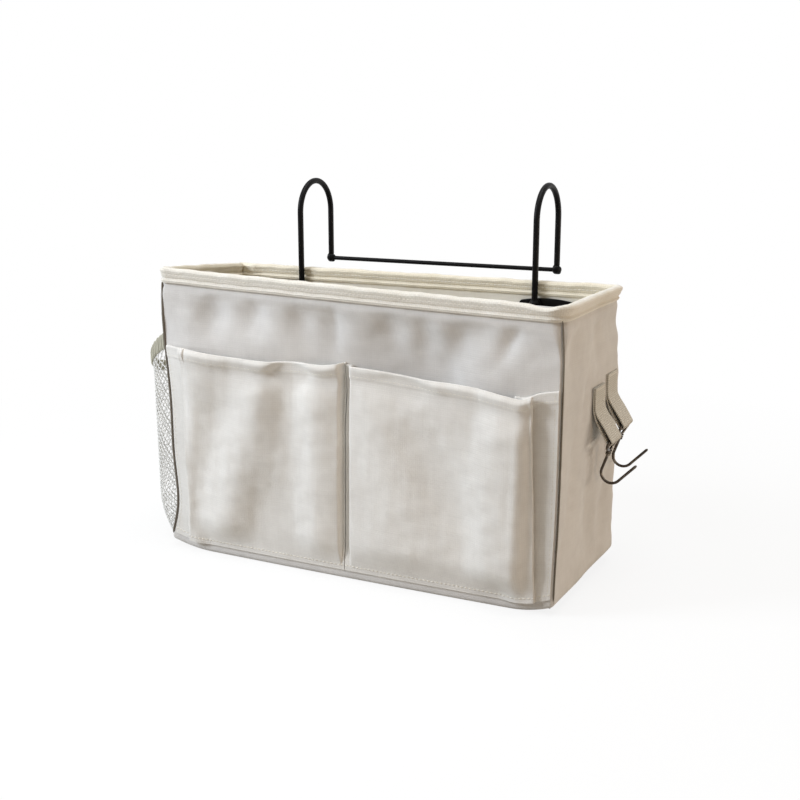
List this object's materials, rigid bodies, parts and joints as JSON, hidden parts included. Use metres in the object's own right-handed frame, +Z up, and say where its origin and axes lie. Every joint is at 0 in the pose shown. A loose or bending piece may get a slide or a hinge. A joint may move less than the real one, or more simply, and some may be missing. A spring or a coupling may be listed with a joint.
{
  "type": "bedside caddy",
  "caption": "Boarded canvas bedside caddy with pleated front pockets, a net side pocket, swinging wire side hooks and a black wire hanger that hooks over a bed rail.",
  "frame": {"origin": "centre of the underside of the base, which the caddy stands on", "axes": "+X to the right along the front, +Y from the front to the back, +Z up"},
  "size_m": [0.4201, 0.1924, 0.3068],
  "materials": {
    "canvas": "plain-weave off-white canvas",
    "binding": "folded canvas binding, cream",
    "lining": "plain-weave cream lining",
    "interlining": "pressed felt board",
    "net": "knitted polyester net",
    "elastic": "woven elastic in a cloth casing",
    "tape": "ribbed webbing tape, beige grey",
    "hook_wire": "dark bronzed steel wire",
    "black_coat": "satin black coated steel",
    "bare_steel": "plain steel"
  },
  "bodies": {
    "bag": {"front_panel": "canvas", "back_panel": "canvas", "left_panel": "canvas", "right_panel": "canvas", "base_panel": "canvas", "base_board": "interlining", "front_board": "interlining", "back_board": "interlining", "left_board": "interlining", "right_board": "interlining", "base_lining": "lining", "front_lining": "lining", "back_lining": "lining", "left_lining": "lining", "right_lining": "lining", "rim_wire": "bare_steel", "rim_binding": "binding", "left_front_pocket": "canvas", "right_front_pocket": "canvas", "mesh_pocket_net": "net", "mesh_pocket_elastic": "elastic", "front_loop_tab": "tape", "rear_loop_tab": "tape", "left_hanger_rod": "black_coat", "left_foot_plate": "black_coat", "left_foot_weld": "black_coat", "left_crossbar_weld": "black_coat", "right_hanger_rod": "black_coat", "right_foot_plate": "black_coat", "right_foot_weld": "black_coat", "right_crossbar_weld": "black_coat", "hanger_crossbar": "black_coat", "plate_rivet_1": "black_coat", "plate_rivet_2": "black_coat", "plate_rivet_3": "black_coat", "plate_rivet_4": "black_coat", "rivet_washer_1": "bare_steel", "rivet_washer_2": "bare_steel", "rivet_washer_3": "bare_steel", "rivet_washer_4": "bare_steel"},
    "front_loop": {"front_loop_tape": "tape"},
    "front_hook": {"front_wire_hook": "hook_wire"},
    "rear_loop": {"rear_loop_tape": "tape"},
    "rear_hook": {"rear_wire_hook": "hook_wire"}
  },
  "joints": [
    {"name": "front_loop_swing", "type": "hinge", "parent": "bag", "child": "front_loop", "pos_m": [0.1765, 0.0184, 0.1385], "axis": [0, -1, 0], "range_deg": [0, 48]},
    {"name": "front_hook_swing", "type": "hinge", "parent": "front_loop", "child": "front_hook", "pos_m": [0.18938, 0.0184, 0.11707], "axis": [0, -1, 0], "range_deg": [-6, 95]},
    {"name": "rear_loop_swing", "type": "hinge", "parent": "bag", "child": "rear_loop", "pos_m": [0.1765, 0.051, 0.1435], "axis": [0, -1, 0], "range_deg": [0, 48]},
    {"name": "rear_hook_swing", "type": "hinge", "parent": "rear_loop", "child": "rear_hook", "pos_m": [0.18938, 0.051, 0.12207], "axis": [0, -1, 0], "range_deg": [-6, 95]}
  ]
}
